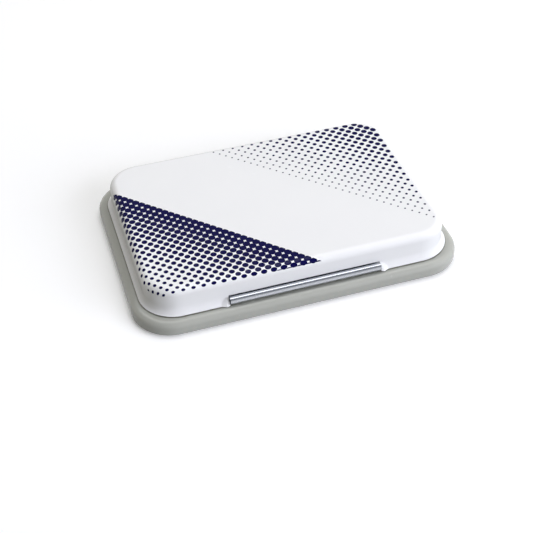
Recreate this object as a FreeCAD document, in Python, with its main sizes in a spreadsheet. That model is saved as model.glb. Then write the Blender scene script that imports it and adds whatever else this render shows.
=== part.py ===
"""Ink stamp pad: a hinged tinplate lid over a moulded base that holds an inked felt pad.

The origin is at the middle of the underside. X runs along the length, Y from the thumb lip at the front
to the hinge at the back, Z up.
"""
import FreeCAD, Part
import math
import os
import Sketcher
from FreeCAD import Vector

# Driving dimensions in millimetres, angles in degrees
SIZES = {
    "base_length": 128.0,    # outside of the base flange, left to right
    "base_width": 91.0,      # outside of the base flange, front to back
    "base_corner": 15.5,     # corner radius of the flange in plan
    "base_wall": 1.8,        # outer wall of the base
    "flange_height": 5.8,    # top of the flange above the table
    "flange_thick": 1.6,     # flange over the hollow channel
    "flange_round": 2.4,     # rounding of the flange's upper edge
    "foot_round": 1.2,       # rounding of the base's lower edge
    "floor_rise": 0.8,       # underside of the floor above the table
    "floor_thick": 1.6,
    "rib_thick": 1.0,        # stiffening ribs in the channel under the flange
    "rib_pitch": 28.0,
    "root_depth": 0.4,       # how far a rib or lug is rooted in the wall that carries it
    "long_ribs": 4,          # ribs along each long side
    "short_ribs": 2,         # ribs along each short side
    "rim_rise": 3.8,         # rim above the flange
    "rim_wall": 1.8,
    "rim_gap": 0.6,          # rim to the lid's skirt
    "ledge_width": 3.4,      # flange that shows outside the lid
    "lid_gap": 0.4,          # open line between the flange and the closed lid
    "lid_depth": 10.8,       # lid from its lower edge to its top
    "tin_thick": 0.3,        # tinplate
    "skirt_corner": 12.2,    # corner radius of the lid's skirt in plan
    "crown_round": 3.0,      # rounding of the lid's top edge
    "flare_out": 1.8,        # how far the lid's lower edge turns out
    "flare_rise": 2.9,       # height over which it turns out
    "lip_length": 58.6,      # rolled thumb lip
    "lip_radius": 1.5,
    "lip_slit": 0.2,         # slit between the lip and the flare beside it
    "ear_length": 3.0,       # fold of the flare beside the thumb lip
    "ear_tip": 1.1,          # the fold's tip, from the slit
    "ear_reach": 0.9,        # how far the tip stands out past the lid's edge
    "curl_sweep": 300.0,     # how far round a roll is closed
    "hinge_length": 58.0,    # rolled hinge knuckle
    "pin_diameter": 2.3,
    "hinge_play": 0.05,      # pin to knuckle, all round
    "pin_fit": 0.01,         # pin to lug, all round
    "pin_bevel": 0.25,
    "lug_length": 5.0,
    "lug_wall": 1.0,         # plastic round the pin
    "lug_gap": 0.5,          # lug to knuckle, end to end
    "notch_gap": 0.5,        # lid's notch round a lug
    "seat_depth": 1.4,       # pan's seat below the top of the rim
    "seat_width": 0.9,
    "pan_gap": 0.3,          # pan to well
    "pan_round": 1.0,        # rounding of the pan's lower edge
    "frame_height": 1.2,
    "frame_width": 3.8,
    "frame_round": 0.5,
    "cloth_thick": 0.5,
    "cloth_gap": 0.2,        # felt and cloth to pan
    "pad_gap": 0.3,          # frame's window to the pad
    "pad_rise": 2.1,         # pad above its frame
    "pad_round": 2.0,        # rounding of the pad's upper edge
}

# Sizes and places worked out from the driving dimensions
FITS = {
    "edge_length": "Size.base_length - 2 * Size.ledge_width",
    "edge_width": "Size.base_width - 2 * Size.ledge_width",
    "edge_level": "Size.flange_height + Size.lid_gap",
    "skirt_length": "edge_length - 2 * Size.flare_out",
    "skirt_width": "edge_width - 2 * Size.flare_out",
    "skirt_level": "edge_level + Size.flare_rise",
    "flare_chord": "sqrt(Size.flare_out ^ 2 + Size.flare_rise ^ 2)",
    "flare_radius": "flare_chord ^ 2 / (2 * Size.flare_out)",
    "flare_angle": "asin(Size.flare_rise / flare_radius)",
    "lid_top": "edge_level + Size.lid_depth",
    "top_length": "skirt_length - 2 * Size.crown_round",
    "top_width": "skirt_width - 2 * Size.crown_round",
    "top_corner": "Size.skirt_corner - Size.crown_round",
    "lip_z": "edge_level + Size.lip_radius",
    "lip_end": "Size.lip_length / 2 + Size.lip_slit",
    "knuckle_radius": "Size.pin_diameter / 2 + Size.hinge_play + Size.tin_thick",
    "hinge_y": "skirt_width / 2 - Size.tin_thick + knuckle_radius",
    "hinge_z": "edge_level + knuckle_radius",
    "lug_radius": "Size.pin_diameter / 2 + Size.lug_wall",
    "lug_inner": "Size.hinge_length / 2 + Size.lug_gap",
    "lug_outer": "lug_inner + Size.lug_length",
    "rim_inset": "Size.tin_thick + Size.rim_gap",
    "rim_length": "skirt_length - 2 * rim_inset",
    "rim_width": "skirt_width - 2 * rim_inset",
    "rim_corner": "Size.skirt_corner - rim_inset",
    "rim_top": "Size.flange_height + Size.rim_rise",
    "floor_top": "Size.floor_rise + Size.floor_thick",
    "channel_length": "Size.base_length - 2 * Size.base_wall",
    "channel_width": "Size.base_width - 2 * Size.base_wall",
    "channel_corner": "Size.base_corner - Size.base_wall",
    "channel_top": "Size.flange_height - Size.flange_thick",
    "well_length": "rim_length - 2 * Size.rim_wall",
    "well_width": "rim_width - 2 * Size.rim_wall",
    "well_corner": "rim_corner - Size.rim_wall",
    "seat_length": "well_length + 2 * Size.seat_width",
    "seat_span": "well_width + 2 * Size.seat_width",
    "seat_corner": "well_corner + Size.seat_width",
    "seat_level": "rim_top - Size.seat_depth",
    "pan_length": "well_length - 2 * Size.pan_gap",
    "pan_width": "well_width - 2 * Size.pan_gap",
    "pan_corner": "well_corner - Size.pan_gap",
    "pan_top": "seat_level + Size.tin_thick",
    "frame_length": "seat_length - 2 * Size.pan_gap",
    "frame_span": "seat_span - 2 * Size.pan_gap",
    "frame_corner": "seat_corner - Size.pan_gap",
    "frame_top": "pan_top + Size.frame_height",
    "window_length": "frame_length - 2 * Size.frame_width",
    "window_width": "frame_span - 2 * Size.frame_width",
    "window_corner": "frame_corner - Size.frame_width",
    "pad_length": "window_length - 2 * Size.pad_gap",
    "pad_width": "window_width - 2 * Size.pad_gap",
    "pad_corner": "window_corner - Size.pad_gap",
    "pad_top": "frame_top + Size.pad_rise",
    "core_inset": "Size.tin_thick + Size.cloth_gap",
    "core_length": "pan_length - 2 * core_inset",
    "core_width": "pan_width - 2 * core_inset",
    "core_corner": "pan_corner - core_inset",
    "core_bottom": "floor_top + Size.tin_thick",
    "core_top": "pan_top - Size.cloth_thick",
    "felt_length": "pad_length - 2 * Size.cloth_thick",
    "felt_width": "pad_width - 2 * Size.cloth_thick",
    "felt_corner": "pad_corner - Size.cloth_thick",
    "felt_top": "pad_top - Size.cloth_thick",
    "felt_round": "Size.pad_round - Size.cloth_thick",
}

NEAR = 1e-4    # two heights closer than this are the same

doc = FreeCAD.newDocument("StampPad")


def make_sheets():
    """Write the driving dimensions and the worked sizes to two sheets of the document."""
    size_sheet = doc.addObject("Spreadsheet::Sheet", "Size")
    for row, (alias, value) in enumerate(SIZES.items(), 1):
        size_sheet.set(f"A{row}", alias)
        size_sheet.set(f"B{row}", str(value))
        size_sheet.setAlias(f"B{row}", alias)
    doc.recompute()
    fit_sheet = doc.addObject("Spreadsheet::Sheet", "Fit")
    for row, (alias, formula) in enumerate(FITS.items(), 1):
        fit_sheet.set(f"A{row}", alias)
        fit_sheet.set(f"B{row}", f"={formula}")
        fit_sheet.setAlias(f"B{row}", alias)
    doc.recompute()
    return fit_sheet


fit = make_sheets()


def number(expression):
    """Value of an expression on the sheets."""
    return float(fit.evalExpression(expression))


# Sketch geometry

def line(start, end):
    return Part.LineSegment(Vector(*start), Vector(*end))


def arc(centre, radius, start, end):
    """Arc that runs counter-clockwise between two angles in degrees."""
    circle = Part.Circle(Vector(*centre), Vector(0, 0, 1), radius)
    return Part.ArcOfCircle(circle, math.radians(start), math.radians(end))


def bind(sketch, kind, where, expression):
    """Add a dimension that follows an expression."""
    index = sketch.addConstraint(Sketcher.Constraint(kind, *where, number(expression)))
    sketch.setExpression(f"Constraints[{index}]", expression)


def bind_angle(sketch, where, degrees):
    """Add an angle that follows an expression in degrees."""
    index = sketch.addConstraint(Sketcher.Constraint("Angle", *where, math.radians(number(degrees))))
    sketch.setExpression(f"Constraints[{index}]", f"({degrees}) * 1 deg")


def relate(sketch, kind, *pairs):
    """Add one geometric constraint of a kind for each tuple of places."""
    for places in pairs:
        sketch.addConstraint(Sketcher.Constraint(kind, *places))


def rounded_rectangle(sketch, length, width, corner):
    """Add a rounded rectangle about the sketch's origin."""
    half_length = number(length) / 2
    half_width = number(width) / 2
    radius = number(corner)
    x = half_length - radius
    y = half_width - radius
    first = sketch.GeometryCount
    sketch.addGeometry([
        line((-x, -half_width), (x, -half_width)),
        arc((x, -y), radius, -90, 0),
        line((half_length, -y), (half_length, y)),
        arc((x, y), radius, 0, 90),
        line((x, half_width), (-x, half_width)),
        arc((-x, y), radius, 90, 180),
        line((-half_length, y), (-half_length, -y)),
        arc((-x, -y), radius, 180, 270),
    ], False)
    front, arc_a, right, arc_b, back, arc_c, left, arc_d = range(first, first + 8)
    loop = [front, arc_a, right, arc_b, back, arc_c, left, arc_d]
    for here, after in zip(loop, loop[1:] + loop[:1]):
        relate(sketch, "Tangent", (here, 2, after, 1))
    relate(sketch, "Horizontal", (front,), (back,))
    relate(sketch, "Vertical", (right,), (left,))
    relate(sketch, "Equal", (arc_a, arc_b), (arc_b, arc_c), (arc_c, arc_d))
    relate(sketch, "Symmetric", (arc_a, 3, arc_c, 3, -1, 1))
    bind(sketch, "Radius", (arc_a,), corner)
    bind(sketch, "DistanceX", (left, 1, right, 1), length)
    bind(sketch, "DistanceY", (front, 1, back, 1), width)


def polygon(sketch, corners):
    """Add a closed polygon whose corners are pairs of expressions."""
    points = [(number(across), number(up)) for across, up in corners]
    first = sketch.GeometryCount
    count = len(points)
    for k in range(count):
        sketch.addGeometry(line(points[k], points[(k + 1) % count]), False)
    for k in range(count):
        relate(sketch, "Coincident", (first + k, 2, first + (k + 1) % count, 1))
    for k, (across, up) in enumerate(corners):
        bind(sketch, "DistanceX", (-1, 1, first + k, 1), across)
        bind(sketch, "DistanceY", (-1, 1, first + k, 1), up)


def circle(sketch, across, up, radius):
    """Add a circle at a place given by two expressions."""
    place = Vector(number(across), number(up))
    index = sketch.addGeometry(Part.Circle(place, Vector(0, 0, 1), number(radius)), False)
    bind(sketch, "DistanceX", (-1, 1, index, 3), across)
    bind(sketch, "DistanceY", (-1, 1, index, 3), up)
    bind(sketch, "Radius", (index,), radius)


# Bodies and features

def new_body(name):
    body = doc.addObject("PartDesign::Body", name)
    body.Label = name
    return body


def origin_plane(body, role):
    return next(plane for plane in body.Origin.OriginFeatures if plane.Role == role)


def new_sketch(body, name, role="XY_Plane", offset=None):
    """Sketch on one of the body's own planes, moved along its normal by an expression."""
    sketch = body.newObject("Sketcher::SketchObject", f"{body.Label}_{name}")
    sketch.AttachmentSupport = (origin_plane(body, role), [""])
    sketch.MapMode = "FlatFace"
    if offset is not None:
        sketch.setExpression("AttachmentOffset.Base.z", offset)
    return sketch


def add_feature(body, kind, sketch, length, reverse=False, symmetric=False):
    """Pad or pocket of a sketch whose length follows an expression."""
    feature = body.newObject(f"PartDesign::{kind}", f"{sketch.Name}_{kind.lower()}")
    feature.Profile = sketch
    feature.setExpression("Length", length)
    feature.Reversed = reverse
    if symmetric:
        feature.SideType = "Symmetric"
    sketch.Visibility = False
    return settle(feature)


def settle(feature):
    """Recompute, and stop if the feature failed or left the solid as it was."""
    doc.recompute()
    if "Invalid" in feature.State or "Error" in feature.State:
        raise RuntimeError(f"{feature.Name} failed")
    before = feature.BaseFeature.Shape.Volume if feature.BaseFeature else 0
    if math.isclose(feature.Shape.Volume, before, rel_tol=1e-9):
        raise RuntimeError(f"{feature.Name} changed nothing")
    return feature


def plate(body, name, outline, bottom, top):
    """Pad of a rounded rectangle between two heights."""
    sketch = new_sketch(body, name, offset=bottom)
    rounded_rectangle(sketch, *outline)
    return add_feature(body, "Pad", sketch, f"{top} - ({bottom})")


def ring(body, name, outer, inner, bottom, top):
    """Pad between two rounded rectangles."""
    sketch = new_sketch(body, name, offset=bottom)
    rounded_rectangle(sketch, *outer)
    rounded_rectangle(sketch, *inner)
    return add_feature(body, "Pad", sketch, f"{top} - ({bottom})")


def recess(body, name, outlines, bottom, top, from_above=True):
    """Pocket of one rounded rectangle, or of the band between two, between two heights."""
    sketch = new_sketch(body, name, offset=top if from_above else bottom)
    for outline in outlines:
        rounded_rectangle(sketch, *outline)
    return add_feature(body, "Pocket", sketch, f"{top} - ({bottom})", reverse=not from_above)


def edges_at(feature, height):
    """Names of the edges that lie at one height."""
    level = number(height)
    names = []
    for index, edge in enumerate(feature.Shape.Edges, 1):
        box = edge.BoundBox
        if abs(box.ZMin - level) < NEAR and abs(box.ZMax - level) < NEAR:
            names.append(f"Edge{index}")
    return names


def round_edges(body, name, height, radius):
    """Fillet of the edges of the body's last feature that lie at one height."""
    last = body.Tip
    fillet = body.newObject("PartDesign::Fillet", f"{body.Label}_{name}")
    fillet.Base = (last, edges_at(last, height))
    fillet.setExpression("Radius", radius)
    return settle(fillet)


# Outlines in plan, each a length, a width and a corner radius

BASE = ("Size.base_length", "Size.base_width", "Size.base_corner")
CHANNEL = ("Fit.channel_length", "Fit.channel_width", "Fit.channel_corner")
RIM = ("Fit.rim_length", "Fit.rim_width", "Fit.rim_corner")
WELL = ("Fit.well_length", "Fit.well_width", "Fit.well_corner")
SEAT = ("Fit.seat_length", "Fit.seat_span", "Fit.seat_corner")
PAN = ("Fit.pan_length", "Fit.pan_width", "Fit.pan_corner")
FRAME = ("Fit.frame_length", "Fit.frame_span", "Fit.frame_corner")
WINDOW = ("Fit.window_length", "Fit.window_width", "Fit.window_corner")
CORE = ("Fit.core_length", "Fit.core_width", "Fit.core_corner")
PAD = ("Fit.pad_length", "Fit.pad_width", "Fit.pad_corner")
FELT = ("Fit.felt_length", "Fit.felt_width", "Fit.felt_corner")
SKIRT = ("Fit.skirt_length", "Fit.skirt_width", "Size.skirt_corner")
LID_TOP = ("Fit.top_length", "Fit.top_width", "Fit.top_corner")


def grown(outline, margin):
    """Outline moved outwards by an expression."""
    length, width, corner = outline
    return (f"{length} + 2 * ({margin})", f"{width} + 2 * ({margin})", f"{corner} + {margin}")


# The base

def add_ribs(body, name, side, along_length):
    """Row of ribs across the channel under one side of the flange."""
    if along_length:
        near, far, count = "Fit.rim_width / 2", "Fit.channel_width / 2", "Size.long_ribs"
    else:
        near, far, count = "Fit.rim_length / 2", "Fit.channel_length / 2", "Size.short_ribs"
    first = f"-Size.rib_pitch * ({count} - 1) / 2"
    spans = (f"{first} - Size.rib_thick / 2", f"{first} + Size.rib_thick / 2")
    reach = (f"{side} * ({near} - Size.root_depth)", f"{side} * ({far} + Size.root_depth)")
    corners = [(spans[0], reach[0]), (spans[1], reach[0]), (spans[1], reach[1]), (spans[0], reach[1])]
    if not along_length:
        corners = [(up, across) for across, up in corners]
    sketch = new_sketch(body, name, offset="Size.floor_rise")
    polygon(sketch, corners)
    rib = add_feature(body, "Pad", sketch, "Fit.channel_top - Size.floor_rise")
    row = body.newObject("PartDesign::LinearPattern", f"{sketch.Name}_row")
    row.Originals = [rib]
    row.Direction = (sketch, ["H_Axis" if along_length else "V_Axis"])
    row.setExpression("Length", f"Size.rib_pitch * ({count} - 1)")
    row.setExpression("Occurrences", count)
    body.Tip = row
    settle(row)


def add_lug(body, name, side):
    """Hinge lug that stands on the flange beside the lid's knuckle."""
    y = number("Fit.hinge_y")
    z = number("Fit.hinge_z")
    radius = number("Fit.lug_radius")
    foot = number("Size.flange_height - Size.root_depth")
    offset = "Fit.lug_inner" if side > 0 else "-Fit.lug_outer"
    sketch = new_sketch(body, name, role="YZ_Plane", offset=offset)
    sketch.addGeometry([
        line((y - radius, foot), (y + radius, foot)),
        line((y + radius, foot), (y + radius, z)),
        arc((y, z), radius, 0, 180),
        line((y - radius, z), (y - radius, foot)),
    ], False)
    relate(sketch, "Coincident", (0, 2, 1, 1), (3, 2, 0, 1))
    relate(sketch, "Tangent", (1, 2, 2, 1), (2, 2, 3, 1))
    relate(sketch, "Horizontal", (0,))
    relate(sketch, "Vertical", (1,), (3,))
    bind(sketch, "DistanceX", (-1, 1, 2, 3), "Fit.hinge_y")
    bind(sketch, "DistanceY", (-1, 1, 2, 3), "Fit.hinge_z")
    bind(sketch, "Radius", (2,), "Fit.lug_radius")
    bind(sketch, "DistanceY", (-1, 1, 0, 1), "Size.flange_height - Size.root_depth")
    add_feature(body, "Pad", sketch, "Size.lug_length")


def make_base_tray():
    """Moulded base: flange, rim, well for the pad, ribbed channel below and two hinge lugs."""
    body = new_body("base_tray")
    plate(body, "block", BASE, "0", "Size.flange_height")
    round_edges(body, "flange_edge", "Size.flange_height", "Size.flange_round")
    round_edges(body, "foot_edge", "0", "Size.foot_round")
    plate(body, "rim", RIM, "Size.flange_height", "Fit.rim_top")
    recess(body, "well", [WELL], "Fit.floor_top", "Fit.rim_top")
    recess(body, "seat", [SEAT], "Fit.seat_level", "Fit.rim_top")
    recess(body, "hollow", [CHANNEL], "0", "Size.floor_rise", from_above=False)
    recess(body, "channel", [CHANNEL, RIM], "Size.floor_rise", "Fit.channel_top", from_above=False)
    for side, name in ((-1, "front"), (1, "back")):
        add_ribs(body, f"{name}_rib", side, True)
    for side, name in ((-1, "left"), (1, "right")):
        add_ribs(body, f"{name}_rib", side, False)
        add_lug(body, f"{name}_lug", side)
    bore = new_sketch(body, "bore", role="YZ_Plane")
    circle(bore, "Fit.hinge_y", "Fit.hinge_z", "Size.pin_diameter / 2 + Size.pin_fit")
    add_feature(body, "Pocket", bore, "Size.base_length", symmetric=True)
    return body


# The pad in the base

def make_pad_tray():
    """Tinplate pan that hangs by its flange in the base's seat and stands on the floor."""
    body = new_body("pad_tray")
    plate(body, "pan", PAN, "Fit.floor_top", "Fit.pan_top")
    round_edges(body, "pan_edge", "Fit.floor_top", "Size.pan_round")
    recess(body, "inside", [grown(PAN, "-Size.tin_thick")], "Fit.core_bottom", "Fit.pan_top")
    round_edges(body, "inside_edge", "Fit.core_bottom", "Size.pan_round - Size.tin_thick")
    ring(body, "flange", FRAME, grown(PAN, "-Size.tin_thick / 2"), "Fit.seat_level", "Fit.pan_top")
    return body


def make_felt_core():
    """Thick felt that stores the ink."""
    body = new_body("felt_core")
    plate(body, "felt", CORE, "Fit.core_bottom", "Fit.core_top")
    round_edges(body, "lower_edge", "Fit.core_bottom", "Size.pan_round")
    return body


def make_top_felt():
    """Softer felt that fills the raised part of the pad."""
    body = new_body("top_felt")
    plate(body, "felt", FELT, "Fit.core_top", "Fit.felt_top")
    round_edges(body, "upper_edge", "Fit.felt_top", "Fit.felt_round")
    return body


def make_pad_cloth():
    """Cotton cover: raised over the upper felt, with its edge flat under the frame."""
    body = new_body("pad_cloth")
    plate(body, "edge", CORE, "Fit.core_top", "Fit.pan_top")
    plate(body, "cover", PAD, "Fit.core_top", "Fit.pad_top")
    recess(body, "inside", [FELT], "Fit.core_top", "Fit.felt_top", from_above=False)
    round_edges(body, "outer_round", "Fit.pad_top", "Size.pad_round")
    round_edges(body, "inner_round", "Fit.felt_top", "Fit.felt_round")
    return body


def make_pad_frame():
    """Pressed tin frame, open below, that holds the cloth's edge down."""
    body = new_body("pad_frame")
    ring(body, "frame", FRAME, WINDOW, "Fit.pan_top", "Fit.frame_top")
    round_edges(body, "upper_edges", "Fit.frame_top", "Size.frame_round")
    hollow = [grown(FRAME, "-Size.tin_thick"), grown(WINDOW, "Size.tin_thick")]
    recess(body, "hollow", hollow, "Fit.pan_top", "Fit.frame_top - Size.tin_thick", from_above=False)
    return body


# The hinge and the lid

def make_hinge_pin():
    """Steel wire as long as the knuckle and both lugs, with bevelled ends."""
    body = new_body("hinge_pin")
    sketch = new_sketch(body, "wire", role="YZ_Plane")
    circle(sketch, "Fit.hinge_y", "Fit.hinge_z", "Size.pin_diameter / 2")
    wire = add_feature(body, "Pad", sketch, "2 * Fit.lug_outer", symmetric=True)
    rims = [f"Edge{k}" for k, edge in enumerate(wire.Shape.Edges, 1) if edge.Closed]
    bevel = body.newObject("PartDesign::Chamfer", "hinge_pin_bevel")
    bevel.Base = (wire, rims)
    bevel.setExpression("Size", "Size.pin_bevel")
    settle(bevel)
    return body


def draw_wall_section(sketch):
    """Section of the lid's wall at the front: turned-out lower edge, upright skirt and rounded crown."""
    tin = number("Size.tin_thick")
    skirt_y = -number("Fit.skirt_width / 2")
    level = number("Fit.skirt_level")
    edge_y = skirt_y - number("Size.flare_out")
    edge_z = number("Fit.edge_level")
    crown = number("Size.crown_round")
    top = number("Fit.lid_top")
    rise = number("Size.flare_rise")
    flare = number("Fit.flare_radius")
    flare_centre = (skirt_y - flare, level)
    crown_centre = (skirt_y + crown, top - crown)
    outer_end = -math.degrees(math.asin(rise / flare))
    inner_end = -math.degrees(math.asin(rise / (flare + tin)))
    inner_y = flare_centre[0] + math.sqrt((flare + tin) ** 2 - rise ** 2)
    sketch.addGeometry([
        arc(flare_centre, flare, outer_end, 0),
        line((skirt_y, level), (skirt_y, top - crown)),
        arc(crown_centre, crown, 90, 180),
        line((skirt_y + crown, top), (skirt_y + crown, top - tin)),
        arc(crown_centre, crown - tin, 90, 180),
        line((skirt_y + tin, top - crown), (skirt_y + tin, level)),
        arc(flare_centre, flare + tin, inner_end, 0),
        line((inner_y, edge_z), (edge_y, edge_z)),
    ], False)
    flare_out, skirt_out, crown_out, cut, crown_in, skirt_in, flare_in, edge = range(8)
    relate(sketch, "Tangent", (flare_out, 2, skirt_out, 1), (skirt_out, 2, crown_out, 2),
           (crown_in, 2, skirt_in, 1), (skirt_in, 2, flare_in, 2))
    relate(sketch, "Coincident", (crown_out, 1, cut, 1), (cut, 2, crown_in, 1), (flare_in, 1, edge, 1),
           (edge, 2, flare_out, 1), (crown_out, 3, crown_in, 3), (flare_out, 3, flare_in, 3))
    relate(sketch, "Vertical", (skirt_out,), (skirt_in,), (cut,), (crown_out, 3, crown_out, 1))
    relate(sketch, "Horizontal", (edge,))
    bind(sketch, "Radius", (crown_out,), "Size.crown_round")
    bind(sketch, "Radius", (crown_in,), "Size.crown_round - Size.tin_thick")
    bind(sketch, "DistanceX", (-1, 1, skirt_out, 1), "-Fit.skirt_width / 2")
    bind(sketch, "DistanceY", (-1, 1, skirt_out, 1), "Fit.skirt_level")
    bind(sketch, "DistanceX", (-1, 1, edge, 2), "-Fit.edge_width / 2")
    bind(sketch, "DistanceY", (-1, 1, edge, 2), "Fit.edge_level")
    bind(sketch, "DistanceY", (-1, 1, cut, 1), "Fit.lid_top")


def draw_curl(sketch, side, radius, centre_z):
    """Section of a roll at the front (side -1) or back (side 1), with the leg that hangs it on the skirt."""
    tin = number("Size.tin_thick")
    outer = number(radius)
    z = number(centre_z)
    leg_out = side * number("Fit.skirt_width / 2")
    leg_in = leg_out - side * tin
    y = leg_in + side * outer
    level = number("Fit.skirt_level")
    opening = 360 - number("Size.curl_sweep")
    at_front = side < 0
    start = opening if at_front else 180
    end = start + number("Size.curl_sweep")
    tip_end, leg_end = (1, 2) if at_front else (2, 1)
    tip_degrees = "360 - Size.curl_sweep" if at_front else "Size.curl_sweep - 180"
    tip_angle = number(tip_degrees)
    ray = (math.cos(math.radians(tip_angle)), math.sin(math.radians(tip_angle)))
    tips = [(y + r * ray[0], z + r * ray[1]) for r in (outer - tin, outer)]
    sketch.addGeometry([
        line((leg_in, level), (leg_out, level)),
        line((leg_out, level), (leg_out, z)),
        arc((y, z), outer - tin, start, end),
        line(*tips),
        arc((y, z), outer, start, end),
        line((leg_in, z), (leg_in, level)),
    ], False)
    cap, leg_a, roll_in, tip_line, roll_out, leg_b = range(6)
    relate(sketch, "Coincident", (cap, 2, leg_a, 1), (roll_in, tip_end, tip_line, 1),
           (tip_line, 2, roll_out, tip_end), (leg_b, 2, cap, 1), (roll_in, 3, roll_out, 3))
    relate(sketch, "Tangent", (leg_a, 2, roll_in, leg_end), (roll_out, leg_end, leg_b, 1))
    relate(sketch, "Horizontal", (cap,))
    relate(sketch, "Vertical", (leg_a,), (leg_b,))
    relate(sketch, "PointOnObject", (roll_out, 3, tip_line))
    bind_angle(sketch, (tip_line,), tip_degrees)
    bind(sketch, "Radius", (roll_out,), radius)
    bind(sketch, "DistanceX", (-1, 1, cap, 2), f"{side} * Fit.skirt_width / 2")
    bind(sketch, "DistanceY", (-1, 1, cap, 2), "Fit.skirt_level")
    bind(sketch, "DistanceX", (-1, 1, cap, 1), f"{side} * (Fit.skirt_width / 2 - Size.tin_thick)")
    bind(sketch, "DistanceY", (-1, 1, roll_out, 3), centre_z)


def cut_wall(body, name, side, spans, top):
    """Cut away the lid's lower edge at the front or back over spans in X, up to a height."""
    sketch = new_sketch(body, name, role="XZ_Plane")
    low = "Fit.edge_level - Size.lid_gap"
    for left, right in spans:
        polygon(sketch, [(left, low), (right, low), (right, top), (left, top)])
    add_feature(body, "Pocket", sketch, "Size.base_width", reverse=side < 0)


def flare_point(share):
    """Place in the middle of the flare's sheet, a share of the way from its root to its edge."""
    radius = "(Fit.flare_radius + Size.tin_thick / 2)"
    turn = f"({share} * Fit.flare_angle)"
    return (f"-Fit.skirt_width / 2 - Fit.flare_radius + {radius} * cos({turn})",
            f"Fit.skirt_level - {radius} * sin({turn})")


def edge_point(outward):
    """Place at the level of the lid's edge, moved outwards from it by an expression."""
    return (f"-Fit.edge_width / 2 - ({outward})", "Fit.edge_level")


def add_ear(body, name, side):
    """Fold of the flare beside the thumb lip: a crease from the lip's end, over a tip, out to the plain flare."""
    root, half, fold, low = (flare_point(share) for share in (0, 0.5, 0.55, 0.8))
    crease = tuple(f"{near} + ({far} - ({near})) * Size.ear_tip / Size.ear_length" for near, far in zip(root, fold))
    inside = edge_point("-Size.tin_thick")
    sections = []
    for end, place, corners in (
            ("slit", "Fit.lip_end", [root, half, inside, edge_point("Size.ear_reach / 2")]),
            ("tip", "(Fit.lip_end + Size.ear_tip)", [crease, half, inside, edge_point("Size.ear_reach")]),
            ("flare", "(Fit.lip_end + Size.ear_length)",
             [fold, low, edge_point("-Size.tin_thick / 2"), edge_point("0")])):
        sketch = new_sketch(body, f"{name}_{end}", role="YZ_Plane", offset=f"{side} * {place}")
        polygon(sketch, corners)
        sections.append(sketch)
    doc.recompute()
    ear = body.newObject("PartDesign::AdditiveLoft", f"{body.Label}_{name}")
    ear.Profile = sections[0]
    ear.Sections = sections[1:]
    ear.Ruled = True
    settle(ear)


def make_lid_shell():
    """Drawn tinplate lid with the rolled thumb lip in front and the rolled knuckle behind."""
    body = new_body("lid_shell")
    path = new_sketch(body, "path", offset="Fit.skirt_level")
    rounded_rectangle(path, *SKIRT)
    section = new_sketch(body, "section", role="YZ_Plane")
    draw_wall_section(section)
    doc.recompute()
    wall = body.newObject("PartDesign::AdditivePipe", "lid_shell_wall")
    wall.Profile = section
    wall.Spine = path
    settle(wall)
    plate(body, "top", LID_TOP, "Fit.lid_top - Size.tin_thick", "Fit.lid_top")

    cut_wall(body, "lip_cut", -1, [("-Fit.lip_end", "Fit.lip_end")], "Fit.skirt_level")
    hinge_end = "(Fit.lug_outer + Size.notch_gap)"
    cut_wall(body, "hinge_cut", 1, [(f"-{hinge_end}", hinge_end)], "Fit.skirt_level")
    knuckle_end = "(Size.hinge_length / 2)"
    notches = [(knuckle_end, hinge_end), (f"-{hinge_end}", f"-{knuckle_end}")]
    cut_wall(body, "lug_notch", 1, notches, "Fit.hinge_z + Fit.lug_radius + Size.notch_gap")

    lip = new_sketch(body, "lip", role="YZ_Plane")
    draw_curl(lip, -1, "Size.lip_radius", "Fit.lip_z")
    add_feature(body, "Pad", lip, "Size.lip_length", symmetric=True)
    knuckle = new_sketch(body, "knuckle", role="YZ_Plane")
    draw_curl(knuckle, 1, "Fit.knuckle_radius", "Fit.hinge_z")
    add_feature(body, "Pad", knuckle, "Size.hinge_length", symmetric=True)

    add_ear(body, "left_ear", -1)
    add_ear(body, "right_ear", 1)
    return body


def export(bodies):
    """Check every object of the document, then write each body to its own file."""
    for item in doc.Objects:
        if "Invalid" in item.State or "Error" in item.State:
            raise RuntimeError(f"{item.Name} failed")
    for body in bodies:
        shape = body.Shape
        if shape.isNull() or not shape.isValid() or len(shape.Solids) != 1:
            raise RuntimeError(f"{body.Label} is not one sound solid")
    os.makedirs("parts", exist_ok=True)
    for body in bodies:
        body.Shape.exportStep(f"parts/{body.Label}.step")
        box = body.Shape.optimalBoundingBox(False)
        print(f"{body.Label}: {body.Shape.Volume:.1f} mm3, "
              f"{box.XLength:.2f} x {box.YLength:.2f} x {box.ZLength:.2f} mm")


export([
    make_base_tray(),
    make_pad_tray(),
    make_felt_core(),
    make_top_felt(),
    make_pad_cloth(),
    make_pad_frame(),
    make_hinge_pin(),
    make_lid_shell(),
])
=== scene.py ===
"""Ink stamp pad: materials, inked pad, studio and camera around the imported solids."""
import math
import random

import bpy
from mathutils import Matrix, Vector


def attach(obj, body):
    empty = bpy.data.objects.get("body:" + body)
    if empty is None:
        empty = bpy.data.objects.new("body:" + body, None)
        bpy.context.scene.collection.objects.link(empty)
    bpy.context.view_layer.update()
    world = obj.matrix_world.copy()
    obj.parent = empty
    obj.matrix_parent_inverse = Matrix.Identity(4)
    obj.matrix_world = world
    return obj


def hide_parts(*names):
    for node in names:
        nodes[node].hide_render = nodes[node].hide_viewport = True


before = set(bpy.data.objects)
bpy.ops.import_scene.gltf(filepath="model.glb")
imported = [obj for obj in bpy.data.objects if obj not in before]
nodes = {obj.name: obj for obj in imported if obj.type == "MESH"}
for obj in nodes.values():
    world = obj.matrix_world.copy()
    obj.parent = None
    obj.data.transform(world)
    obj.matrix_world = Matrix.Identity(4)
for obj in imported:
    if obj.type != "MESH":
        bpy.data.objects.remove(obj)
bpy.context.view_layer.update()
MM = 0.001


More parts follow.
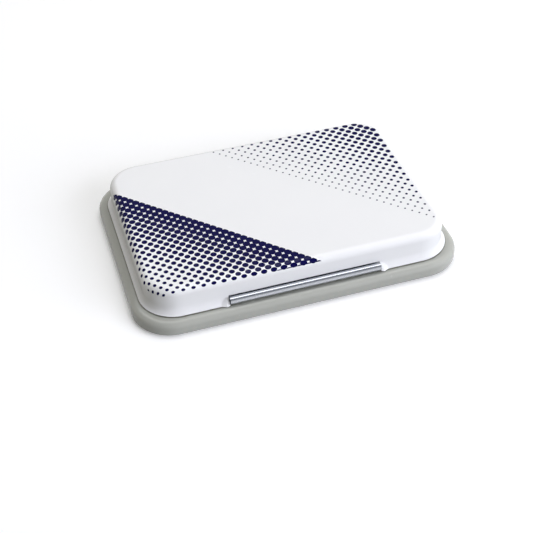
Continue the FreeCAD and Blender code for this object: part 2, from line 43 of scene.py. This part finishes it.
# Shader helpers

class Shader:
    """One material with a Principled surface, and short names for its nodes."""

    def __init__(self, name, constants):
        self.material = bpy.data.materials.new(name)
        self.material.use_nodes = True
        self.tree = self.material.node_tree
        self.surface = self.tree.nodes["Principled BSDF"]
        for socket, value in constants.items():
            self.surface.inputs[socket].default_value = value
        self.coords = self.add("ShaderNodeTexCoord")

    def add(self, kind, **settings):
        node = self.tree.nodes.new(kind)
        for key, value in settings.items():
            setattr(node, key, value)
        return node

    def feed(self, socket, value):
        """Link a socket to another, or set its value."""
        if isinstance(value, bpy.types.NodeSocket):
            self.tree.links.new(value, socket)
        else:
            socket.default_value = value

    def set(self, **values):
        """Link sockets of the surface, named with underscores for spaces."""
        for name, value in values.items():
            self.feed(self.surface.inputs[name.replace("_", " ")], value)

    def math(self, operation, *values, clamp=False):
        node = self.add("ShaderNodeMath", operation=operation, use_clamp=clamp)
        for socket, value in zip(node.inputs, values):
            self.feed(socket, value)
        return node.outputs[0]

    def total(self, first, *others):
        for other in others:
            first = self.math("ADD", first, other)
        return first

    def product(self, first, *others):
        for other in others:
            first = self.math("MULTIPLY", first, other)
        return first

    def length(self, *values):
        """Root of the sum of squares."""
        return self.math("SQRT", self.total(*(self.product(value, value) for value in values)))

    def mix(self, factor, low, high):
        """Colour between two colours."""
        node = self.add("ShaderNodeMix", data_type="RGBA")
        for index, value in ((0, factor), (6, low), (7, high)):
            self.feed(node.inputs[index], value)
        return node.outputs[2]

    def blend(self, factor, low, high):
        """Number between two numbers."""
        node = self.add("ShaderNodeMix", data_type="FLOAT")
        for index, value in ((0, factor), (2, low), (3, high)):
            self.feed(node.inputs[index], value)
        return node.outputs[0]

    def step(self, value, edge, soft):
        """0 below an edge and 1 above it, over a soft width."""
        return self.math("MULTIPLY_ADD", self.math("SUBTRACT", value, edge), 1 / soft, 0.5, clamp=True)

    def axes(self):
        """The point's place in the part's frame, as three numbers in millimetres."""
        split = self.add("ShaderNodeSeparateXYZ")
        self.feed(split.inputs[0], self.coords.outputs["Object"])
        return [self.product(split.outputs[k], 1 / MM) for k in range(3)]

    def noise(self, per_mm, detail, roughness=0.5, stretch=None):
        """Noise of a scale in cells per millimetre, drawn out along the axes by a stretch."""
        vector = self.coords.outputs["Object"]
        if stretch:
            scale = self.add("ShaderNodeVectorMath", operation="MULTIPLY")
            self.feed(scale.inputs[0], vector)
            self.feed(scale.inputs[1], stretch)
            vector = scale.outputs[0]
        node = self.add("ShaderNodeTexNoise")
        self.feed(node.inputs["Vector"], vector)
        self.feed(node.inputs["Scale"], per_mm / MM)
        self.feed(node.inputs["Detail"], detail)
        self.feed(node.inputs["Roughness"], roughness)
        return node.outputs["Fac"]

    def bump(self, height, depth_mm, strength=1.0):
        node = self.add("ShaderNodeBump")
        self.feed(node.inputs["Height"], height)
        self.feed(node.inputs["Distance"], depth_mm * MM)
        self.feed(node.inputs["Strength"], strength)
        self.set(Normal=node.outputs[0])


def rgb(red, green, blue):
    """Colour of a screen tone from 0 to 255."""
    def linear(tone):
        tone /= 255
        return tone / 12.92 if tone <= 0.04045 else ((tone + 0.055) / 1.055) ** 2.4
    return (linear(red), linear(green), linear(blue), 1.0)


# The lid's plan, in mm

LID_TOP = 17.0
CORNER = (46.6, 28.1)        # middle of the corner rounding
LIP_HALF = 29.4              # half the length of the rolled lip and of the knuckle
LIP_TOP = 9.25
ROLL_FACE = 40.05            # the rolls stand out from here
NO_REACH = 0.001             # keeps the middle of the lid from dividing by zero


def past_corner(s, x, y):
    """How far a point lies beyond the middles of the corner roundings: along each axis, and in all."""
    beyond = [s.math("MAXIMUM", s.math("SUBTRACT", s.math("ABSOLUTE", value), middle), 0.0)
              for value, middle in zip((x, y), CORNER)]
    return beyond, s.length(*beyond)


# The print: two fields of dots on a lattice that lies at 45 degrees to the lid's sides

PITCH = 3.77                 # spacing along the lid's sides, in mm
ROWS = (16.8, 3.4)           # lattice place of the lid's middle, in rows and columns
FRONT_LAST = 7               # last row of the front field
FRONT_DOT = (0.41, 0.021)    # dot radius at row 0 and its growth per row, in rows
FRONT_REACH = 14.0           # middles of the front field's last whole dots, in mm past the corner's middle
BACK_FIRST = 21              # first row of the back field
BACK_DOT = (0.123, 0.0212)   # dot radius in that row and its growth per row, in rows
BACK_REACH = 10.0            # middles of the back field's last whole dots
BACK_SCALE = 1.0985          # back field's spacing against the front field's
BACK_SHIFT = (0.049, -0.1455)  # back field's offset, in rows and columns
DOT_SOFT = 0.035             # width of a dot's edge, in rows
MERGED_DOT = 0.47            # radius from which dots run together, in rows
PRINT_DRAW = (0.7, 1.084)    # mm of print taken up along x and y for each mm that the lid's edge turns down
PRINT_CUT = 15.5             # height at which dots that run together are cut off
PRINT_END = 14.2             # lower end of all print
CUT_SOFT = 0.12


def flattened(s, x, y, z):
    """Place in the flat print, which is drawn together where the lid's edge turns down."""
    beyond, reach = past_corner(s, x, y)
    reach = s.math("MAXIMUM", reach, NO_REACH)
    fall = s.math("SUBTRACT", LID_TOP, z)
    flat = []
    for value, over, draw in zip((x, y), beyond, PRINT_DRAW):
        share = s.product(s.math("SIGN", value), s.math("POWER", s.math("DIVIDE", over, reach), 2), draw)
        flat.append(s.math("MULTIPLY_ADD", share, fall, value))
    return flat


def dots(s, place, cut, limit, first_radius, growth, first_row=0, scale=1.0, shift=(0.0, 0.0)):
    """Dots whose radius grows by row, and their row number.

    Dots whose middles lie within the limit are whole. Those that run together go on as far as the cut.
    """
    cells = [s.math("MULTIPLY_ADD", value, 1 / scale, -move / scale) for value, move in zip(place, shift)]
    row, column = [s.math("ROUND", cell) for cell in cells]
    distance = s.length(*(s.math("SUBTRACT", cell, middle) for cell, middle in zip(cells, (row, column))))
    radius = s.math("MULTIPLY_ADD", row, growth, first_radius - growth * first_row)
    along, across = [s.math("MULTIPLY_ADD", middle, scale * PITCH / 2, (move - start) * PITCH / 2)
                     for middle, move, start in zip((row, column), shift, ROWS)]
    _, reach = past_corner(s, s.total(along, across), s.math("SUBTRACT", along, across))
    whole = s.math("LESS_THAN", reach, limit)
    merged = s.math("GREATER_THAN", radius, MERGED_DOT)
    kept = s.math("MAXIMUM", whole, s.product(merged, cut))
    return s.product(s.step(s.math("SUBTRACT", radius, distance), 0, DOT_SOFT), kept), row


def printed_dots(s, x, y, z):
    """1 on a printed dot and 0 beside it."""
    flat_x, flat_y = flattened(s, x, y, z)
    place = (s.math("MULTIPLY_ADD", s.total(flat_x, flat_y), 1 / PITCH, ROWS[0]),
             s.math("MULTIPLY_ADD", s.math("SUBTRACT", flat_x, flat_y), 1 / PITCH, ROWS[1]))
    cut = s.step(z, PRINT_CUT, CUT_SOFT)
    front, row = dots(s, place, cut, FRONT_REACH, *FRONT_DOT)
    front = s.product(front, s.math("LESS_THAN", row, FRONT_LAST + 0.5))
    no_cut = 0.0
    back, row = dots(s, place, no_cut, BACK_REACH, *BACK_DOT, BACK_FIRST, BACK_SCALE, BACK_SHIFT)
    back = s.product(back, s.math("GREATER_THAN", row, BACK_FIRST - 0.5))
    return s.product(s.math("MAXIMUM", front, back), s.step(z, PRINT_END, CUT_SOFT))


# Materials: each pair of colours or roughnesses is the two ends of a noise

WHITES = (rgb(248, 248, 247), rgb(245, 245, 245))
INKS = (rgb(6, 5, 60), rgb(12, 10, 72))
LID_TINS = (rgb(205, 208, 214), rgb(184, 188, 196))
ROLL_TIN = rgb(186, 189, 195)
PAN_TIN = rgb(205, 208, 214)
WIRE = rgb(190, 192, 196)
TARNISH = rgb(170, 173, 180)
PLASTICS = (rgb(179, 180, 172), rgb(184, 185, 178))
PLASTIC_GRAIN = rgb(174, 175, 166)
# painted shade for the gap under the lid's edge
GAP_SHADE = rgb(116, 114, 100)
CLOTHS = (rgb(38, 30, 104), rgb(62, 50, 146))
CLOTH_RIDGE = rgb(24, 18, 70)
FELTS = (rgb(40, 32, 108), rgb(72, 60, 150))

GLOSS_ROUGH = (0.2, 0.3)
INSIDE_ROUGH = (0.24, 0.4)
ROLL_ROUGH = (0.2, 0.34)
TIN_ROUGH = (0.22, 0.42)
PLASTIC_ROUGH = (0.2, 0.3)
CLOTH_ROUGH = (0.45, 0.75)
FELT_ROUGH = (0.7, 0.95)

GAP_SHADE_LINE = 13.95             # line of painted shade where the lid's lower edge lies over the base, in mm past the corner's middle
GAP_SHADE_HALF = 0.4
GAP_SHADE_SOFT = 0.35
GAP_SHADE_PATCHES = (0.3, 0.8)     # edge and soft width of the patches of painted shade in that line
GAP_SHADE_DEPTH = 0.75
THREAD = 0.42                # spacing of the cloth's threads, in mm
WEAVE_SHADE = 0.35
WEAVE_BUMP = (0.06, 0.7)     # depth in mm, and strength


def printed_tin():
    """Gloss print outside, bare tin on the rolls and inside."""
    s = Shader("printed_tin", {"IOR": 1.5, "Specular IOR Level": 0.1})
    x, y, z = s.axes()
    paint = s.mix(s.noise(0.05, 2), *WHITES)
    paint = s.mix(printed_dots(s, x, y, z), paint, s.mix(s.noise(0.9, 2), *INKS))

    turned = s.add("ShaderNodeVectorMath", operation="DOT_PRODUCT")
    s.feed(turned.inputs[0], s.coords.outputs["Normal"])
    s.feed(turned.inputs[1], s.coords.outputs["Object"])
    inside = s.math("LESS_THAN", turned.outputs["Value"], 0.0)
    on_roll = s.product(s.math("LESS_THAN", s.math("ABSOLUTE", x), LIP_HALF),
                        s.math("GREATER_THAN", s.math("ABSOLUTE", y), ROLL_FACE),
                        s.math("LESS_THAN", z, LIP_TOP))
    bare = s.math("MAXIMUM", inside, on_roll)
    streaks = s.noise(1.2, 3, stretch=(0.04, 1, 1))
    metal = s.mix(on_roll, s.mix(streaks, *LID_TINS), ROLL_TIN)
    s.set(Base_Color=s.mix(bare, paint, metal), Metallic=bare)
    gloss = s.blend(s.noise(0.25, 3), *GLOSS_ROUGH)
    worn = s.blend(on_roll, s.blend(streaks, *INSIDE_ROUGH), s.blend(streaks, *ROLL_ROUGH))
    s.set(Roughness=s.blend(bare, gloss, worn))
    s.bump(s.noise(0.35, 2), 0.006)
    return s.material


def bare_tin(name, colour, stretch):
    s = Shader(name, {"Metallic": 1.0})
    streaks = s.noise(1.6, 4, stretch=stretch)
    s.set(Base_Color=s.mix(streaks, colour, TARNISH))
    s.set(Roughness=s.blend(streaks, *TIN_ROUGH))
    s.bump(streaks, 0.01)
    return s.material


def moulded_plastic():
    """Fine-grained plastic, with painted shade in patches along a line under the lid's edge, where lid and
    base meet.
    """
    s = Shader("grey_plastic", {"IOR": 1.5})
    grain = s.noise(4.0, 2)
    tone = s.mix(grain, s.mix(s.noise(0.06, 3), *PLASTICS), PLASTIC_GRAIN)
    x, y, _ = s.axes()
    _, reach = past_corner(s, x, y)
    # painted shade in patches along the gap where the lid's edge sits over the base
    off_line = s.math("ABSOLUTE", s.math("SUBTRACT", reach, GAP_SHADE_LINE))
    in_gap_shade = s.math("SUBTRACT", 1.0, s.step(off_line, GAP_SHADE_HALF, GAP_SHADE_SOFT))
    painted_shade = s.product(in_gap_shade, s.step(s.noise(0.4, 3), *GAP_SHADE_PATCHES), GAP_SHADE_DEPTH)
    s.set(Base_Color=s.mix(painted_shade, tone, GAP_SHADE))
    s.set(Roughness=s.blend(s.noise(0.5, 3), *PLASTIC_ROUGH))
    s.bump(grain, 0.012)
    return s.material


def inked_cloth():
    """Plain weave, damp with ink."""
    s = Shader("inked_cloth", {"Sheen Weight": 0.15, "Sheen Roughness": 0.5, "IOR": 1.4})
    x, y, _ = s.axes()
    turn = 2 * math.pi / THREAD
    warp = s.math("SINE", s.product(x, turn))
    weft = s.math("SINE", s.product(y, turn))
    over = s.product(s.math("SINE", s.product(x, turn / 2)), s.math("SINE", s.product(y, turn / 2)))
    height = s.blend(s.math("GREATER_THAN", over, 0), s.math("ABSOLUTE", warp), s.math("ABSOLUTE", weft))
    soaked = s.mix(s.noise(0.12, 4), *CLOTHS)
    s.set(Base_Color=s.mix(s.product(height, WEAVE_SHADE), soaked, CLOTH_RIDGE))
    s.set(Roughness=s.blend(s.noise(0.2, 3), *CLOTH_ROUGH))
    s.bump(height, *WEAVE_BUMP)
    return s.material


def inked_felt():
    """Matted wool, soaked with ink."""
    s = Shader("inked_felt", {"Sheen Weight": 0.3, "Sheen Roughness": 0.6, "IOR": 1.35})
    fibre = s.noise(3.0, 5, 0.7)
    s.set(Base_Color=s.mix(s.noise(0.3, 3), *FELTS))
    s.set(Roughness=s.blend(fibre, *FELT_ROUGH))
    s.bump(fibre, 0.15)
    return s.material


def paint_nodes():
    tin = bare_tin("bare_tin", PAN_TIN, (0.08, 0.08, 1))
    finishes = {
        "lid_shell": printed_tin(),
        "base_tray": moulded_plastic(),
        "hinge_pin": bare_tin("steel_wire", WIRE, (0.05, 1, 1)),
        "pad_tray": tin,
        "pad_frame": tin,
    }
    for name, material in finishes.items():
        slots = nodes[name].data.materials
        if not slots:
            slots.append(material)
        for index in range(len(slots)):
            slots[index] = material


# The inked pad, in mm

CORE_SIZE = (110.6, 73.6, 7.7)  # length, width and corner radius
CORE_BOTTOM, CORE_MIDDLE, CORE_TOP = 2.7, 5.0, 8.0
CORE_ROUNDS = (1.0, 0.5)     # lower and upper edge
CORE_RINGS = (36.0, 12.0)    # insets of the rings across its flat faces
FELT_SIZE = (104.2, 67.2, 4.5)
FELT_MIDDLE, FELT_TOP = 8.8, 11.25
FELT_ROUND = 1.5
FELT_RINGS = (33.0, 10.0)
MATTING = 0.0006             # share by which the felts' sides go in and out
CLOTH_INSET = 2.7            # cloth's flat edge, from its rim to the raised pad
CLOTH_THICK = 0.45
CLOTH_EDGE = 8.5             # top of the flat edge
CLOTH_FOOT = ((0.0, 9.2), (-0.05, 8.75), (-0.25, CLOTH_EDGE))  # where the side runs out into that edge
CLOTH_UNDER = 8.6            # foot of the side on the underside
CLOTH_TUCK = 0.2             # how far the flat edge's underside goes in under the side
CLOTH_RINGS = (36.0, 24.0, 14.0, 8.0)
PAD_TOP = 11.8
PAD_ROUND = 2.0
CROWN = 0.12                 # fall of the cloth from the middle to the pad's edge
PUCKER = 0.0009              # share by which the cloth's sides go in and out
ON_TOP = CLOTH_INSET + PAD_ROUND - 0.01  # rings with a larger inset lie on the pad's top
ON_EDGE = CLOTH_INSET - 0.1  # rings with a smaller inset lie on the flat edge
LEAST_CORNER = 0.4           # corner radius of the innermost rings


def outline(length, width, corner, inset, per_corner=14, per_side=26):
    """Points round a rounded rectangle that is drawn in by an inset."""
    half_x = length / 2 - inset
    half_y = width / 2 - inset
    radius = max(corner - inset, min(LEAST_CORNER, half_y / 2))

    def on_corner(quarter, share):
        sx, sy = ((1, 1), (-1, 1), (-1, -1), (1, -1))[quarter % 4]
        turn = math.pi / 2 * (quarter + share)
        centre = Vector((sx * (half_x - radius), sy * (half_y - radius)))
        return centre + radius * Vector((math.cos(turn), math.sin(turn)))

    points = []
    for quarter in range(4):
        points += [on_corner(quarter, step / (per_corner - 1)) for step in range(per_corner)]
        start, after = points[-1], on_corner(quarter + 1, 0)
        points += [start.lerp(after, step / per_side) for step in range(1, per_side)]
    return points


def lofted(name, size, profile, material, pull):
    """Closed skin through rings given by inset and height, with both ends filled."""
    vertices = []
    faces = []
    for index, (inset, height) in enumerate(profile):
        ring = outline(*size, inset)
        count = len(ring)
        for k, point in enumerate(ring):
            place = pull(inset, k / count, point.x, point.y, height)
            vertices.append(tuple(value * MM for value in place))
        if index:
            low, high = (index - 1) * count, index * count
            faces += [(low + k, low + (k + 1) % count, high + (k + 1) % count, high + k)
                      for k in range(count)]
    last = (len(profile) - 1) * count
    faces.append(tuple(reversed(range(count))))
    faces.append(tuple(range(last, last + count)))
    mesh = bpy.data.meshes.new(name)
    mesh.from_pydata(vertices, [], faces)
    mesh.polygons.foreach_set("use_smooth", [True] * len(mesh.polygons))
    mesh.materials.append(material)
    piece = bpy.data.objects.new(name, mesh)
    bpy.context.scene.collection.objects.link(piece)
    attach(piece, "base")
    return piece


def rounded(inset, height, radius, start, end, steps=7):
    """Rings round an edge whose centre is at an inset and a height, between two angles in degrees."""
    turns = [math.radians(start + (end - start) * k / (steps - 1)) for k in range(steps)]
    return [(inset - radius * math.cos(t), height + radius * math.sin(t)) for t in turns]


def waves(seed, counts):
    """Sum of waves round an outline, from -1 to 1, by the share of the way round."""
    draw = random.Random(seed)
    phases = [(draw.uniform(0, 2 * math.pi), count) for count in counts]

    def wave(share):
        return sum(math.sin(2 * math.pi * share * count + phase) for phase, count in phases) / len(phases)
    return wave


def level(insets, height):
    """Rings across a flat face."""
    return [(inset, height) for inset in insets]


def cloth_profile():
    """Rings from the middle of the cloth's underside, round its rim, to the middle of its top."""
    top = PAD_TOP - CROWN
    hem = CLOTH_EDGE - CLOTH_THICK
    middle = CLOTH_INSET + PAD_ROUND
    over = level(CLOTH_RINGS, top)
    over += reversed(rounded(middle, top - PAD_ROUND, PAD_ROUND, 0, 90))
    over += [(CLOTH_INSET + offset, height) for offset, height in CLOTH_FOOT]
    over.append((0.0, CLOTH_EDGE))
    under = [(0.0, hem), (CLOTH_INSET + CLOTH_TUCK, hem), (CLOTH_INSET + CLOTH_THICK, CLOTH_UNDER)]
    under += rounded(middle, top - PAD_ROUND, PAD_ROUND - CLOTH_THICK, 0, 90)
    under += level(reversed(CLOTH_RINGS), top - CLOTH_THICK)
    return list(reversed(over + under))


def make_pad():
    felt = inked_felt()
    fleece = waves(7, (9, 23, 41))

    def matted(inset, share, x, y, z):
        shrink = 1 - MATTING * (1 + fleece(share))
        return x * shrink, y * shrink, z

    low_round, top_round = CORE_ROUNDS
    core = lofted("ink_store", CORE_SIZE, [
        *level(CORE_RINGS, CORE_BOTTOM),
        *rounded(low_round, CORE_BOTTOM + low_round, low_round, -90, 0),
        (0.0, CORE_MIDDLE), *rounded(top_round, CORE_TOP - top_round, top_round, 0, 90),
        *level(reversed(CORE_RINGS), CORE_TOP)], felt, matted)
    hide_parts("felt_core")

    upper = lofted("upper_pad", FELT_SIZE, [
        *level(FELT_RINGS, CORE_TOP), (0.0, CORE_TOP), (0.0, FELT_MIDDLE),
        *rounded(FELT_ROUND, FELT_TOP - FELT_ROUND, FELT_ROUND, 0, 90),
        *level(reversed(FELT_RINGS), FELT_TOP)], felt, matted)
    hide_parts("top_felt")

    half_x, half_y = (side / 2 - CLOTH_INSET - PAD_ROUND for side in CORE_SIZE[:2])
    folds = waves(11, (31, 53, 87))

    def drawn(inset, share, x, y, z):
        if inset > ON_TOP:
            return x, y, z + CROWN * max(0, 1 - (x / half_x) ** 2) * max(0, 1 - (y / half_y) ** 2)
        if inset < ON_EDGE:
            return x, y, z
        shrink = 1 - PUCKER * (1 + folds(share))
        return x * shrink, y * shrink, z

    cloth = lofted("ink_cover", CORE_SIZE, cloth_profile(), inked_cloth(), drawn)
    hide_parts("pad_cloth")


# Floor and surroundings: bright as seen, dimmer as a light on the part

FLOOR_SIZE = 6               # metres
FLOOR_GLOW = 0.18
FLOOR_FADE = (700, 900)      # where the paper runs out into white, and over what width, in mm
FLOOR_BOUNCE = (0.36, 0.36, 0.34, 1)
PAPERS = ((0.93, 0.93, 0.93, 1), (0.94, 0.94, 0.94, 1))
BLACK = (0, 0, 0, 1)

WORLD_LIGHT = 0.12
HORIZON = (1, 1, 1, 1)
CEILING = (0.19, 0.2, 0.24, 1)
WORLD_RISE = (0.25, 0.7)     # heights between which the horizon turns into the ceiling


def make_floor():
    bpy.ops.mesh.primitive_plane_add(size=FLOOR_SIZE)
    floor = bpy.context.object
    floor.name = "floor"
    s = Shader("floor_paper", {"Roughness": 0.9, "Specular IOR Level": 0.1})
    x, y, _ = s.axes()
    far = s.step(s.length(x, y), *FLOOR_FADE)
    paper = s.mix(far, s.mix(s.noise(0.02, 2), *PAPERS), BLACK)
    path = s.add("ShaderNodeLightPath").outputs
    seen = s.math("MAXIMUM", path["Is Camera Ray"], path["Is Glossy Ray"])
    seen = s.math("MAXIMUM", seen, path["Is Transmission Ray"])
    s.set(Base_Color=s.mix(seen, FLOOR_BOUNCE, paper))
    glow = s.add("ShaderNodeEmission")
    s.feed(glow.inputs["Strength"], s.product(seen, s.blend(far, FLOOR_GLOW, 1.0)))
    both = s.add("ShaderNodeAddShader")
    s.feed(both.inputs[0], s.surface.outputs[0])
    s.feed(both.inputs[1], glow.outputs[0])
    s.feed(s.tree.nodes["Material Output"].inputs["Surface"], both.outputs[0])
    floor.data.materials.append(s.material)


def make_world():
    """White low down and grey overhead."""
    world = bpy.data.worlds.new("studio")
    bpy.context.scene.world = world
    world.use_nodes = True
    tree = world.node_tree
    background = tree.nodes["Background"]
    coords = tree.nodes.new("ShaderNodeTexCoord")
    split = tree.nodes.new("ShaderNodeSeparateXYZ")
    tree.links.new(coords.outputs["Generated"], split.inputs[0])
    ramp = tree.nodes.new("ShaderNodeValToRGB")
    for element, height, colour in zip(ramp.color_ramp.elements, WORLD_RISE, (HORIZON, CEILING)):
        element.position = height
        element.color = colour
    tree.links.new(split.outputs["Z"], ramp.inputs[0])
    tree.links.new(ramp.outputs[0], background.inputs["Color"])
    path = tree.nodes.new("ShaderNodeLightPath").outputs
    seen = path["Is Camera Ray"]
    for other in ("Is Glossy Ray", "Is Transmission Ray"):
        either = tree.nodes.new("ShaderNodeMath")
        either.operation = "MAXIMUM"
        tree.links.new(seen, either.inputs[0])
        tree.links.new(path[other], either.inputs[1])
        seen = either.outputs[0]
    strength = tree.nodes.new("ShaderNodeMix")
    strength.data_type = "FLOAT"
    strength.inputs[2].default_value = WORLD_LIGHT
    strength.inputs[3].default_value = 1.0
    tree.links.new(seen, strength.inputs[0])
    tree.links.new(strength.outputs[0], background.inputs["Strength"])


# Lamps: name, place, size in metres, power in watts, colour

LAMPS = [
    ("overhead", (0.2, 0.35, 1.25), (1.2, 1.0), 12.2, (1.0, 1.0, 1.0)),
    ("front", (0.78, -1.0, 0.54), (1.3, 0.9), 18.2, (0.88, 0.9, 1.0)),
    ("right", (1.1, -0.35, 0.75), (0.7, 0.6), 1.3, (1.0, 1.0, 1.0)),
    ("left", (-1.05, 0.1, 0.5), (1.2, 0.16), 1.0, (1.0, 0.93, 0.74)),
]
FILL_LAMP = "front"          # kept out of reflections, where it would bleach the print


def make_lamps():
    for name, place, size, power, colour in LAMPS:
        lamp = bpy.data.lights.new(name, "AREA")
        lamp.shape = "RECTANGLE"
        lamp.size, lamp.size_y = size
        lamp.energy = power
        lamp.color = colour
        item = bpy.data.objects.new(name, lamp)
        item.location = place
        item.rotation_euler = (-Vector(place)).to_track_quat("-Z", "Y").to_euler()
        item.visible_glossy = name != FILL_LAMP
        bpy.context.scene.collection.objects.link(item)


# Camera

EYE = Vector((-95.4, -312.4, 270.1)) * MM
SIGHT = Vector((0.2128, 0.7183, -0.6624)).normalized()
ROLL = math.radians(-1.495)
LENS = 71.18
SENSOR = 36
NEAR = 0.01


def make_camera():
    camera = bpy.data.cameras.new("camera")
    camera.sensor_width = SENSOR
    camera.lens = LENS
    camera.clip_start = NEAR
    right = SIGHT.cross(Vector((0, 0, 1))).normalized()
    up = right.cross(SIGHT)
    turn = Matrix((right, up, -SIGHT)).transposed().to_4x4()
    item = bpy.data.objects.new("camera", camera)
    item.matrix_world = Matrix.Translation(EYE) @ turn @ Matrix.Rotation(ROLL, 4, "Z")
    bpy.context.scene.collection.objects.link(item)
    bpy.context.scene.camera = item


bpy.context.scene.view_settings.view_transform = "Standard"
make_camera()
make_world()
make_floor()
make_lamps()
paint_nodes()
make_pad()
